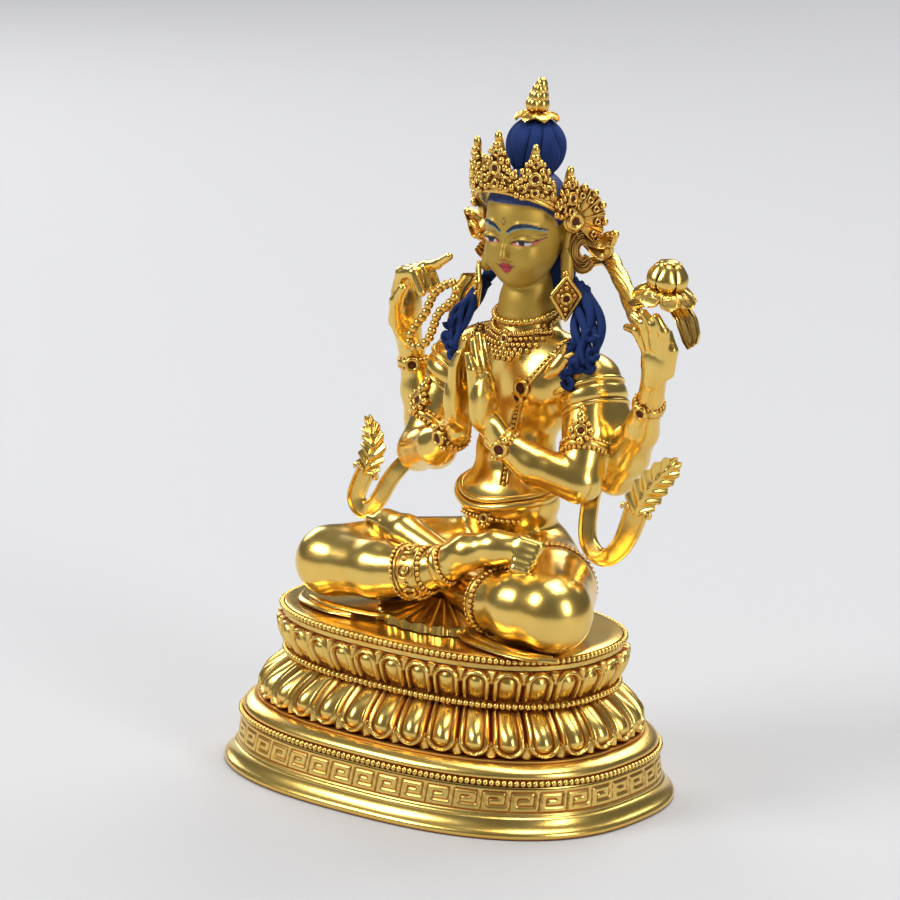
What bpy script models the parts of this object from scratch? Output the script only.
# A seated four-armed Avalokiteshvara in gilt copper on an oval double-lotus plinth.
# Metres, +Z up. The origin is the middle of the plinth's underside, and the figure faces -Y.

import math

import bmesh
import bpy
from mathutils import Matrix, Vector

MM = 0.001

# Plinth: an oval stack, every tier stepped in from the foot's outline
PLINTH_HALF_WIDTH = 66.5 * MM
PLINTH_HALF_DEPTH = 48.8 * MM
OVAL_SQUARENESS = 2.5
FOOT_HEIGHT = 5.9 * MM
FRET_BAND_HEIGHT = 8.0 * MM
FRET_BAND_INSET = 3.4 * MM
PEARL_RADIUS = 1.0 * MM
SHOULDER_HEIGHT = 4.3 * MM
SHOULDER_INSET = 8.6 * MM
LOWER_PETAL_HEIGHT = 11.7 * MM
WAIST_INSET = 16.8 * MM
WAIST_HEIGHT = 2.4 * MM
UPPER_PETAL_HEIGHT = 9.3 * MM
UPPER_TIP_INSET = 13.4 * MM
RIM_HEIGHT = 3.6 * MM
RIM_INSET = 15.3 * MM
PETAL_COUNT = 32
PETAL_BULGE = 1.5 * MM
STATIONS_PER_PETAL = 3

# Figure: all of its form is in shares of its height, given in 152nds
FIGURE_HEIGHT = 152.0 * MM
SHARE = FIGURE_HEIGHT / 152
FIGURE_PLACE_X = 6.0 * MM
SEAT_GAP = 0.3 * MM
FIGURE_VOXEL = 0.75 * MM
FIGURE_TRIANGLES = 3740

# Pieces fixed to the figure
CROWN_CLEARANCE = 0.9 * MM
CROWN_VOXEL = 0.55 * MM
CROWN_TRIANGLES = 980
SCARF_THICKNESS = 2.4 * MM
SPRAY_VOXEL = 0.6 * MM
SPRAY_TRIANGLES = 500
BEAD_COUNT = 18
BEAD_RADIUS = 1.25 * MM
BEAD_SIDES = 5

GILT = ("gilt_copper", (0.86, 0.62, 0.22, 1), 0.22, 1.0)

# Heights of the plinth's tiers, each standing on the one below
FRET_BOTTOM = FOOT_HEIGHT
FRET_TOP = FRET_BOTTOM + FRET_BAND_HEIGHT
SHOULDER_BOTTOM = FRET_TOP + 2 * PEARL_RADIUS
SHOULDER_TOP = SHOULDER_BOTTOM + SHOULDER_HEIGHT
LOWER_PETAL_TOP = SHOULDER_TOP + LOWER_PETAL_HEIGHT
UPPER_PETAL_BOTTOM = LOWER_PETAL_TOP + WAIST_HEIGHT
UPPER_PETAL_TOP = UPPER_PETAL_BOTTOM + UPPER_PETAL_HEIGHT
PLATFORM = UPPER_PETAL_TOP + RIM_HEIGHT
FIGURE_PLACE = Vector((FIGURE_PLACE_X, 0, PLATFORM))

# The head, which the crown is fitted round
HEAD_CENTRE = (0, 22, 110)
HEAD_RADII = (12.2, 13.2, 16.5)
HAIR_CENTRE = (0, 24, 118)
HAIR_RADII = (12.6, 12.8, 10)
SPHERE_SIDES = 16
SPHERE_RINGS = 10

# Rounded masses of the figure: centre and radii
MASSES = (
    ((0, 20, 15), (20, 14, 15)),
    ((0, 18, 34), (15.5, 12, 13)),
    ((0, 20, 44), (13.5, 10.5, 12)),
    ((0, 22, 62), (18, 11.5, 15)),
    (HEAD_CENTRE, HEAD_RADII),
    ((0, 15.5, 98), (6.2, 5.2, 4.6)),
    ((0, 9.6, 103), (1.8, 2.4, 2.0)),
    ((0, 9.8, 107), (1.3, 1.8, 4.0)),
    (HAIR_CENTRE, HAIR_RADII),
    ((0, 24.5, 132), (8.3, 8.3, 9.2)),
    ((0, 24.5, 140.6), (5.4, 5.4, 1.3)),
    ((0, 29.5, 97), (12, 6.2, 19)),
)

# Limbs down the middle: points with the radius of the limb there
MIDDLE_LIMBS = (
    (((0, 24.5, 72), 10), ((0, 24, 82), 7.8), ((0, 23, 94), 7.4)),
    (((0, 24.5, 140), 2.6), ((0, 24.6, 143.5), 3.4), ((0, 24.9, 147), 2.7), ((0, 25, 150.7), 1.3)),
)

# Limbs that the right side repeats as the left side's mirror image
PAIRED_LIMBS = (
    (((0, 23, 71), 9), ((21, 23, 69), 8)),
    (((23, 22, 68), 7.6), ((27, 18, 55), 7.2), ((28.5, 11, 41), 6.2), ((17, 5, 46), 5.8),
     ((5.5, 0.5, 53.5), 3.9)),
    (((4.6, 0, 57), 3.4), ((4.0, -2.5, 66), 3.2)),
    (((4.2, 3.2, 60), 1.6), ((2.9, 2.2, 67), 1.3), ((2.0, 0.8, 73), 1.0)),
)

# Limbs of the figure's left side, which is at +X
LEFT_LIMBS = (
    (((23, 25, 68), 7.4), ((28, 26, 54), 7), ((31, 25, 42), 6.2), ((41, 20, 55), 5.4),
     ((48.5, 15, 69), 3.8)),
    (((49.5, 14, 73), 3.6), ((51.8, 11.5, 80), 4.4), ((52.8, 10.5, 86), 3.8)),
    (((52.8, 9.6, 88), 1.6), ((51, 9, 91), 1.4), ((53, 12, 93), 1.2)),
    (((50, 10, 87), 1.6), ((47.5, 10, 91), 1.4), ((46, 13, 91), 1.2)),
    (((12, 17, 12), 12), ((28, 0, 12.5), 12), ((38.5, -15, 12), 11.5)),
    (((38.5, -16, 10.5), 10.5), ((18, -16, 9), 8), ((-4, -14, 10), 6), ((-20, -8, 20), 4.5)),
    (((-8, -9, 20), 4.2), ((-20, -6, 23), 4.2), ((-31, -2, 24), 3)),
)

# Limbs of its right side
RIGHT_LIMBS = (
    (((-23, 25, 68), 7.4), ((-28, 27, 52), 7), ((-34, 27, 38), 6.2), ((-38.5, 25, 54), 5.2),
     ((-40, 23, 66.5), 3.8)),
    (((-9, 31.5, 98), 2.2), ((-17, 32, 99), 2.4), ((-23, 30, 94.5), 2.6), ((-26.3, 27.5, 88), 2.6),
     ((-26.5, 25, 78), 2.4)),
    (((-40, 21, 71), 3.6), ((-39.5, 18.5, 80), 4.2), ((-37, 16.5, 88), 3.4), ((-32, 14, 94), 2.2),
     ((-27, 13, 95), 1.5)),
    (((-34, 15, 93), 1.6), ((-26, 14, 96.5), 1.3), ((-20, 13, 100), 1.1)),
    (((-12, 17, 12), 12), ((-28, 1, 12.5), 12), ((-38.5, -14, 11.5), 10.5)),
    (((-38.5, -14, 12), 9.8), ((-20, -17, 11.5), 9), ((-6, -18, 12.5), 8), ((2, -17, 15), 4.8)),
    (((2, -17, 15.5), 4.8), ((14, -15, 19), 4.6), ((25, -10, 21.5), 3.4)),
)

# Rings worn on the limbs: centre, axis, radius of the ring and of its wire
RINGS = (
    ((28.2, 14.5, 48.5), (0.35, -0.75, -1), 7.0, 1.3),
    ((-28.2, 14.5, 48.5), (-0.35, -0.75, -1), 7.0, 1.3),
    ((8.0, 2.0, 51.8), (1, 0.35, -0.6), 4.6, 1.3),
    ((-8.0, 2.0, 51.8), (-1, 0.35, -0.6), 4.6, 1.3),
    ((47.2, 16, 66.5), (0.45, -0.3, 1), 4.6, 1.3),
    ((-39.9, 23.2, 65), (0, 0, 1), 4.5, 1.3),
    ((0.5, -17.2, 14.6), (1, 0.1, 0.3), 5.4, 1.3),
    ((0, 18.6, 35), (0, 0.25, 1), 14.2, 2.2),
)

# Locks of hair on each shoulder, and the long ear lobes with their pendants
SHOULDER_LOCK = (((17, 23, 84), 2.2), ((20, 19, 79), 2.8), ((22, 16, 73), 2.8), ((20, 14, 68), 2.4))
EAR_LOBE = (((12.4, 22.5, 104.6), 2.2), ((13.4, 22, 98), 2.0), ((13.8, 20.5, 92), 1.6))
PENDANT_CENTRE = (14.6, 18.5, 87.5)
PENDANT_SIZE = (3.2, 6.4)

# The skirt's hem, a low fan of cloth on the platform between the knees
HEM_CENTRE = (-3, -18.5, 1.4)
HEM_RADII = (17, 8.5, 2.4)


def clear_scene():
    for old in list(bpy.data.objects):
        bpy.data.objects.remove(old, do_unlink=True)


def collection_for(name):
    made = bpy.data.collections.new(name)
    bpy.context.scene.collection.children.link(made)
    return made


def material_from(name, colour, roughness, metallic):
    made = bpy.data.materials.new(name)
    made.use_nodes = True
    shader = made.node_tree.nodes["Principled BSDF"]
    shader.inputs["Base Color"].default_value = colour
    shader.inputs["Roughness"].default_value = roughness
    shader.inputs["Metallic"].default_value = metallic
    return made


def object_from(shape, name, collection, material):
    mesh = bpy.data.meshes.new(name)
    shape.to_mesh(mesh)
    shape.free()
    made = bpy.data.objects.new(name, mesh)
    made.data.materials.append(material)
    collection.objects.link(made)
    return made


def in_row(point):
    """A point of the figure, given in shares, as a place in the row frame."""
    return FIGURE_PLACE + Vector(point) * SHARE


def mirrored(limb):
    return tuple(((-x, y, z), radius) for (x, y, z), radius in limb)


# Plinth

def oval_point(angle, inset):
    power = 2 / OVAL_SQUARENESS
    c, s = math.cos(angle), math.sin(angle)
    return (
        (PLINTH_HALF_WIDTH - inset) * math.copysign(abs(c) ** power, c),
        (PLINTH_HALF_DEPTH - inset) * math.copysign(abs(s) ** power, s),
    )


def even_angles(count, inset):
    """Angles whose points stand evenly along the oval."""
    steps = 2880
    walk = [0.0]
    last = oval_point(0, inset)
    for i in range(1, steps + 1):
        here = oval_point(2 * math.pi * i / steps, inset)
        walk.append(walk[-1] + math.dist(last, here))
        last = here
    found, i = [], 0
    for k in range(count):
        wanted = walk[-1] * k / count
        while walk[i + 1] < wanted:
            i += 1
        share = (wanted - walk[i]) / (walk[i + 1] - walk[i])
        found.append(2 * math.pi * (i + share) / steps)
    return found


def plinth_profile():
    """Rings of the plinth from its foot up: height, inset, petal bulge and scallop of the petal's tip."""
    pearl_out = PEARL_RADIUS * 0.6
    low_span = WAIST_INSET - SHOULDER_INSET
    top_span = WAIST_INSET - UPPER_TIP_INSET
    scallop = PETAL_BULGE * 1.3
    return (
        (0, 0, 0, 0),
        (FOOT_HEIGHT * 0.62, 0.3 * MM, 0, 0),
        (FRET_BOTTOM, FRET_BAND_INSET, 0, 0),
        (FRET_TOP, FRET_BAND_INSET + 1.4 * MM, 0, 0),
        (FRET_TOP + PEARL_RADIUS, FRET_BAND_INSET + 1.4 * MM - pearl_out, 0, 0),
        (SHOULDER_BOTTOM, FRET_BAND_INSET + 1.8 * MM, 0, 0),
        (SHOULDER_BOTTOM + SHOULDER_HEIGHT * 0.5, FRET_BAND_INSET + 3.2 * MM, 0, 0),
        (SHOULDER_TOP - 0.4 * MM, SHOULDER_INSET + 1.2 * MM, 0, 0),
        (SHOULDER_TOP, SHOULDER_INSET + PETAL_BULGE * 0.6, PETAL_BULGE, scallop),
        (SHOULDER_TOP + LOWER_PETAL_HEIGHT * 0.28, SHOULDER_INSET + low_span * 0.10, PETAL_BULGE, 0),
        (SHOULDER_TOP + LOWER_PETAL_HEIGHT * 0.62, SHOULDER_INSET + low_span * 0.42, PETAL_BULGE, 0),
        (LOWER_PETAL_TOP, WAIST_INSET, 0, 0),
        (LOWER_PETAL_TOP + WAIST_HEIGHT * 0.5, WAIST_INSET - pearl_out - 0.6 * MM, 0, 0),
        (UPPER_PETAL_BOTTOM, WAIST_INSET, 0, 0),
        (UPPER_PETAL_BOTTOM + 0.8 * MM, WAIST_INSET - top_span * 0.15, PETAL_BULGE * 0.6, 0),
        (UPPER_PETAL_BOTTOM + UPPER_PETAL_HEIGHT * 0.5, WAIST_INSET - top_span * 0.62, PETAL_BULGE, 0),
        (UPPER_PETAL_TOP - 0.9 * MM, UPPER_TIP_INSET + 0.3 * MM, PETAL_BULGE, -scallop * 0.7),
        (UPPER_PETAL_TOP, RIM_INSET + 0.4 * MM, 0, 0),
        (PLATFORM - 2 * PEARL_RADIUS, RIM_INSET, 0, 0),
        (PLATFORM - PEARL_RADIUS, RIM_INSET - pearl_out, 0, 0),
        (PLATFORM, RIM_INSET + 0.3 * MM, 0, 0),
    )


def build_plinth(collection, material):
    shape = bmesh.new()
    angles = even_angles(PETAL_COUNT * STATIONS_PER_PETAL, (SHOULDER_INSET + WAIST_INSET) / 2)
    rings = []
    for height, inset, bulge, scallop in plinth_profile():
        ring = []
        for i, angle in enumerate(angles):
            between_petals = i % STATIONS_PER_PETAL == 0
            out = 0 if between_petals else bulge
            x, y = oval_point(angle, inset - out)
            ring.append(shape.verts.new((x, y, height + (scallop if between_petals else 0))))
        rings.append(ring)
    for lower, upper in zip(rings, rings[1:]):
        for i in range(len(angles)):
            j = (i + 1) % len(angles)
            shape.faces.new((lower[i], lower[j], upper[j], upper[i]))
    shape.faces.new(rings[0][::-1])
    shape.faces.new(rings[-1])
    made = object_from(shape, "lotus_plinth", collection, material)
    made.data.shade_smooth()
    made.data.set_sharp_from_angle(angle=math.radians(35))
    return made


# Masses and limbs, which are fused into one skin

def unit_ball():
    """Points and faces of a ball of radius 1, which every mass is a scaled copy of."""
    shape = bmesh.new()
    bmesh.ops.create_uvsphere(shape, u_segments=SPHERE_SIDES, v_segments=SPHERE_RINGS, radius=1)
    points = [point.co.copy() for point in shape.verts]
    faces = [[point.index for point in face.verts] for face in shape.faces]
    shape.free()
    return points, faces


BALL_POINTS, BALL_FACES = unit_ball()


def add_mass(shape, centre, radii):
    middle = in_row(centre)
    sizes = Vector(radii) * SHARE
    points, faces = shape
    first = len(points)
    points.extend(middle + point * sizes for point in BALL_POINTS)
    faces.extend([first + i for i in face] for face in BALL_FACES)


def add_limb(shape, limb):
    """Balls on the limb's points with a tapered rod between each two."""
    points, faces = shape
    for centre, radius in limb:
        add_mass(shape, centre, (radius, radius, radius))
    around = [2 * math.pi * i / SPHERE_SIDES for i in range(SPHERE_SIDES)]
    circle = [Vector((math.cos(a), math.sin(a), 0)) for a in around]
    for (start, radius), (end, end_radius) in zip(limb, limb[1:]):
        a, b = in_row(start), in_row(end)
        turn = (b - a).to_track_quat("Z", "Y")
        first = len(points)
        points.extend(a + turn @ (spoke * radius * SHARE) for spoke in circle)
        points.extend(b + turn @ (spoke * end_radius * SHARE) for spoke in circle)
        sides = range(SPHERE_SIDES)
        for i in sides:
            j = (i + 1) % SPHERE_SIDES
            faces.append([first + i, first + j, first + SPHERE_SIDES + j, first + SPHERE_SIDES + i])
        faces.append([first + i for i in reversed(sides)])
        faces.append([first + SPHERE_SIDES + i for i in sides])


def add_ring(shape, centre, axis, radius, wire):
    """A ring of short limbs round an axis."""
    turn = Vector(axis).to_track_quat("Z", "Y")
    count = 14
    around = [2 * math.pi * i / count for i in range(count)]
    points = [Vector(centre) + turn @ Vector((radius * math.cos(a), radius * math.sin(a), 0)) for a in around]
    for a, b in zip(points, points[1:] + points[:1]):
        add_limb(shape, ((a, wire), (b, wire)))


def fused(shape, name, voxel, triangles, collection, material):
    """One closed skin over all the shapes, thinned to about the number of triangles asked for."""
    mesh = bpy.data.meshes.new(name)
    mesh.from_pydata(shape[0], [], shape[1])
    mesh.update()
    made = bpy.data.objects.new(name, mesh)
    made.data.materials.append(material)
    collection.objects.link(made)
    remesh = made.modifiers.new("Skin", "REMESH")
    remesh.mode = "VOXEL"
    remesh.voxel_size = voxel
    remesh.use_smooth_shade = True
    smooth = made.modifiers.new("Soften", "SMOOTH")
    smooth.factor = 0.5
    smooth.iterations = 3
    bpy.context.view_layer.update()
    skin = made.evaluated_get(bpy.context.evaluated_depsgraph_get()).data
    faces = sum(len(face.vertices) - 2 for face in skin.polygons)
    thin = made.modifiers.new("Thin", "DECIMATE")
    thin.ratio = triangles / faces
    return made


def add_hands(shape):
    """Four fingers on each praying palm, pressed tip to tip."""
    for side in (1, -1):
        for finger in range(4):
            y = -6.0 + 2.2 * finger
            reach = 81.5 - abs(finger - 1.4) * 1.4
            root, tip = (side * 4.2, y + 2.2, 64.5), (side * 1.9, y - 0.2, reach)
            add_limb(shape, ((root, 1.5), (tip, 1.1)))


def add_head_dress(shape):
    """Ear lobes with lozenge pendants, and the locks that fall on the shoulders."""
    for side in (1, -1):
        for limb in (SHOULDER_LOCK, EAR_LOBE):
            add_limb(shape, limb if side > 0 else mirrored(limb))
        x, y, z = PENDANT_CENTRE
        wide, half = PENDANT_SIZE
        add_limb(shape, (((side * x, y, z + half), 0.9), ((side * x, y, z), wide), ((side * x, y, z - half), 0.8)))


def build_figure(collection, cutters, material):
    shape = ([], [])
    for centre, radii in MASSES + ((HEM_CENTRE, HEM_RADII),):
        add_mass(shape, centre, radii)
    for limb in MIDDLE_LIMBS + LEFT_LIMBS + RIGHT_LIMBS + PAIRED_LIMBS:
        add_limb(shape, limb)
    for limb in PAIRED_LIMBS:
        add_limb(shape, mirrored(limb))
    for ring in RINGS:
        add_ring(shape, *ring)
    add_hands(shape)
    add_head_dress(shape)
    figure = fused(shape, "figure", FIGURE_VOXEL, FIGURE_TRIANGLES, collection, material)
    seat = block_cutter("seat_cutter", cutters, PLATFORM + SEAT_GAP)
    cut = figure.modifiers.new("Seat", "BOOLEAN")
    cut.operation = "DIFFERENCE"
    cut.object = seat
    return figure


def block_cutter(name, cutters, top):
    """A block that removes all below a height."""
    size = 3 * PLINTH_HALF_WIDTH
    shape = bmesh.new()
    bmesh.ops.create_cube(shape, size=size, matrix=Matrix.Translation((0, 0, top - size / 2)))
    mesh = bpy.data.meshes.new(name)
    shape.to_mesh(mesh)
    shape.free()
    made = bpy.data.objects.new(name, mesh)
    made.hide_render = True
    made.display_type = "WIRE"
    cutters.objects.link(made)
    return made


# Crown: a diadem from ear to ear with five leaves, side rosettes, pleated fans and ribbon ends

CROWN_FRONT = 120
CROWN_SIDE = 112.5
CROWN_REACH = math.radians(100)
BAND_RADII = (HEAD_RADII[0] + 1.2, HEAD_RADII[1] + 1.2)
BAND_WIRE = 1.3
LEAF_ANGLES = (0, 42, 84, -42, -84)
LEAF_HEIGHTS = {0: 18, 42: 16.5, 84: 14.5}
LEAF_LEAN = 0.6


def crown_point(angle, out=0.0, up=0.0):
    """A point round the head, by the angle from the face towards the left ear."""
    wire = BAND_WIRE + CROWN_CLEARANCE / SHARE
    x = (BAND_RADII[0] + wire + out) * math.sin(angle)
    y = HEAD_CENTRE[1] - (BAND_RADII[1] + wire + out) * math.cos(angle)
    drop = (CROWN_FRONT - CROWN_SIDE) * min(1, abs(angle) / math.radians(90)) ** 2
    return (x, y, CROWN_FRONT - drop + up)


def add_leaf(shape, degrees, height):
    """A crown leaf: a tall flame of bosses that tapers to a bud."""
    angle = math.radians(degrees)
    spine = [crown_point(angle, out=0.2 + LEAF_LEAN * t * t, up=1 + height * t) for t in (0, 0.3, 0.6, 0.85, 1)]
    add_limb(shape, tuple(zip(spine, (1.5, 1.9, 1.7, 1.5, 1.1))))
    spread = math.radians(17)
    for t, turn, radius in ((0.15, 0.8, 2.0), (0.38, 0.95, 2.0), (0.62, 0.55, 1.8)):
        for side in (1, -1):
            boss = crown_point(angle + side * spread * turn, out=0.2 + LEAF_LEAN * t * t, up=1 + height * t)
            middle = crown_point(angle, out=0.2 + LEAF_LEAN * t * t, up=1 + height * t)
            add_limb(shape, ((boss, radius), (middle, radius)))


def add_side_ornament(shape, side):
    """The rosette over an ear, the pleated fan behind it and the ribbon's two flying ends."""
    rosette = crown_point(side * math.radians(92), out=0.8, up=0.5)
    add_limb(shape, ((rosette, 2.6), (crown_point(side * math.radians(86), up=1), 1.5)))
    for fold in range(4):
        lean = math.radians(52 - 26 * fold)
        out, up = 9.5 * math.cos(lean), 9.5 * math.sin(lean)
        tip = (rosette[0] + side * out * 0.4, rosette[1] + 2 + out * 0.7, rosette[2] + up)
        add_limb(shape, ((rosette, 1.6), (tip, 1.7)))
    knot = (rosette[0] + side * 1, rosette[1] + 3.5, rosette[2] - 6)
    ends = (
        ((rosette[0] + side * 7, rosette[1] + 6, rosette[2] - 5.5), 2.0),
        ((rosette[0] + side * 12, rosette[1] + 5, rosette[2] - 2.5), 1.5),
    )
    add_limb(shape, ((rosette, 1.6), (knot, 2.2)) + ends)
    add_limb(shape, ((knot, 2.2), ((knot[0] + side * 1.2, knot[1], knot[2] - 6), 2.0),
                     ((knot[0] + side * 0.2, knot[1] - 0.5, knot[2] - 9.5), 1.5)))


def build_crown(collection, material):
    shape = ([], [])
    steps = 16
    arc = [CROWN_REACH * (2 * i / steps - 1) for i in range(steps + 1)]
    for up, wire in ((0, BAND_WIRE), (1.9, BAND_WIRE * 0.9)):
        add_limb(shape, tuple((crown_point(a, up=up), wire) for a in arc))
    for degrees in LEAF_ANGLES:
        add_leaf(shape, degrees, LEAF_HEIGHTS[abs(degrees)])
    for side in (1, -1):
        add_side_ornament(shape, side)
    return fused(shape, "crown", CROWN_VOXEL, CROWN_TRIANGLES, collection, material)


# Scarf ends: flat ribbons that swing out below the elbows and end in a leaf-shaped tip

LEFT_SCARF = (
    ((30.1, 12.9, 34.0), 5.0), ((31.0, 12.0, 28.8), 5.0), ((32.4, 11.3, 25.2), 5.0), ((35.4, 10.8, 22.8), 5.0),
    ((39.3, 10.5, 22.9), 5.0), ((43.2, 10.5, 26.2), 5.6), ((45.9, 10.5, 31.3), 6.4), ((48.1, 10.5, 37.6), 7.6),
    ((49.6, 10.5, 41.2), 9.6), ((52.2, 10.5, 44.6), 7.8), ((55.4, 10.5, 48.4), 7.2), ((58.6, 10.5, 51.5), 5.6),
    ((61.4, 10.5, 54.2), 2.0),
)
RIGHT_SCARF = (
    ((-32.4, 7.3, 36.0), 5.0), ((-34.6, 6.5, 32.8), 5.0), ((-36.6, 5.5, 28.4), 5.0), ((-38.9, 4.8, 25.0), 5.0),
    ((-42.0, 4.2, 23.6), 5.2), ((-44.3, 4.0, 26.6), 5.4), ((-43.4, 4.4, 30.9), 5.6), ((-41.5, 5.0, 35.3), 6.2),
    ((-40.2, 5.4, 38.4), 7.6), ((-40.3, 6.0, 42.4), 6.2), ((-41.4, 6.5, 46.4), 5.4), ((-43.6, 7.0, 50.6), 2.0),
)
SCARF_EDGE_SHARE = 0.55


def build_scarf(name, route, collection, material):
    """A six-sided ribbon with raised middle, from the elbow to the tip. The route gives places and widths."""
    path = [in_row(place) for place, width in route]
    shape = bmesh.new()
    rings = []
    for i, here in enumerate(path):
        along = (path[min(i + 1, len(path) - 1)] - path[max(i - 1, 0)]).normalized()
        face = Vector((0.25, -1, 0.1))
        across = along.cross(face).normalized()
        face = across.cross(along).normalized()
        half = route[i][1] * SHARE / 2
        thick = SCARF_THICKNESS / 2
        corners = ((-1, -SCARF_EDGE_SHARE), (0, -1), (1, -SCARF_EDGE_SHARE),
                   (1, SCARF_EDGE_SHARE), (0, 1), (-1, SCARF_EDGE_SHARE))
        rings.append([shape.verts.new(here + across * half * u + face * thick * v) for u, v in corners])
    for first, second in zip(rings, rings[1:]):
        for i in range(len(first)):
            j = (i + 1) % len(first)
            shape.faces.new((first[i], first[j], second[j], second[i]))
    shape.faces.new(rings[0][::-1])
    shape.faces.new(rings[-1])
    bmesh.ops.recalc_face_normals(shape, faces=shape.faces)
    return object_from(shape, name, collection, material)


# Lotus spray in the left hand: a leafy stem that arches behind the shoulder up to the flower

SPRAY_STEM = (((13.8, 31.5, 100.5), 1.6), ((21.5, 31, 102.0), 2.0), ((27, 27.5, 99.5), 2.8), ((32.5, 24, 95.7), 3.0), ((38, 19.5, 92), 2.6),
              ((43, 15.8, 88.6), 2.0), ((47.1, 13.3, 85.2), 1.3))
FLOWER_STALK = (((37, 20.5, 92.6), 2.2), ((46, 14.2, 96.2), 2.0), ((53, 11, 98.4), 2.0))
FLOWER_CENTRE = (54.6, 10.2, 100.2)
SPRAY_LEAF = (((57, 10.5, 97.5), 2.0), ((62.6, 9.5, 93.5), 2.8), ((66, 8.8, 87.5), 1.4))


def build_spray(collection, material):
    shape = ([], [])
    for limb in (SPRAY_STEM, FLOWER_STALK, SPRAY_LEAF):
        add_limb(shape, limb)
    x, y, z = FLOWER_CENTRE
    add_mass(shape, (x + 0.9, y, z + 3.2), (5.4, 5.4, 5.2))
    add_mass(shape, (x + 1.4, y, z + 8.0), (2.6, 2.6, 1.6))
    petals = 8
    for i in range(petals):
        a = 2 * math.pi * i / petals
        c, s = math.cos(a), math.sin(a)
        add_limb(shape, (((x + 2.5 * c, y + 2.5 * s, z), 1.8), ((x + 8.2 * c, y + 8.2 * s, z - 2.2), 1.8)))
    return fused(shape, "lotus_spray", SPRAY_VOXEL, SPRAY_TRIANGLES, collection, material)


# Prayer beads: a closed loop hanging from the raised right hand

BEAD_LOOP = ((-17.8, 11, 92.5), (-15.8, 10.5, 89.6), (-18.6, 10.5, 86.1), (-22.4, 11, 82.9), (-24.7, 12, 78.3),
             (-27.1, 12.6, 74.1), (-31.3, 13.2, 71.6), (-34.3, 13.6, 73.2), (-31.9, 13.2, 77.6), (-27.9, 12.5, 82.1),
             (-25.8, 12, 86.3), (-23.1, 11.3, 89.6))


def closed_path(points, count):
    """Evenly spread points on a closed Catmull-Rom curve."""
    dense = []
    n = len(points)
    for i in range(n):
        a, b, c, d = (Vector(points[(i + k) % n]) for k in (-1, 0, 1, 2))
        for k in range(24):
            t = k / 24
            dense.append(((2 * b) + (c - a) * t + (2 * a - 5 * b + 4 * c - d) * t ** 2
                          + (3 * b - a - 3 * c + d) * t ** 3) / 2)
    steps = [(dense[(i + 1) % len(dense)] - dense[i]).length for i in range(len(dense))]
    total = sum(steps)
    found, walked, k = [], 0.0, 0
    for i, step in enumerate(steps):
        while k < count and total * k / count <= walked + step:
            share = (total * k / count - walked) / step
            found.append(dense[i].lerp(dense[(i + 1) % len(dense)], share))
            k += 1
        walked += step
    return found


def build_beads(collection, material):
    """Beads strung on a loop as one swelling and narrowing tube."""
    path = [in_row(p) for p in closed_path(BEAD_LOOP, 2 * BEAD_COUNT)]
    shape = bmesh.new()
    rings = []
    for i, here in enumerate(path):
        along = (path[(i + 1) % len(path)] - path[i - 1]).normalized()
        side = along.cross(Vector((0.3, 1, 0.1))).normalized()
        up = along.cross(side).normalized()
        radius = BEAD_RADIUS * (1 if i % 2 == 0 else 0.55)
        turn = [2 * math.pi * k / BEAD_SIDES for k in range(BEAD_SIDES)]
        rings.append([shape.verts.new(here + radius * (side * math.cos(a) + up * math.sin(a))) for a in turn])
    for first, second in zip(rings, rings[1:] + rings[:1]):
        for i in range(BEAD_SIDES):
            j = (i + 1) % BEAD_SIDES
            shape.faces.new((first[i], first[j], second[j], second[i]))
    bmesh.ops.recalc_face_normals(shape, faces=shape.faces)
    return object_from(shape, "prayer_beads", collection, material)


def main():
    clear_scene()
    statue = collection_for("avalokiteshvara_statue")
    cutters = collection_for("cutters")
    gilt = material_from(*GILT)
    build_plinth(statue, gilt)
    build_figure(statue, cutters, gilt)
    build_crown(statue, gilt)
    build_scarf("left_scarf_end", LEFT_SCARF, statue, gilt)
    build_scarf("right_scarf_end", RIGHT_SCARF, statue, gilt)
    build_spray(statue, gilt)
    build_beads(statue, gilt)


main()
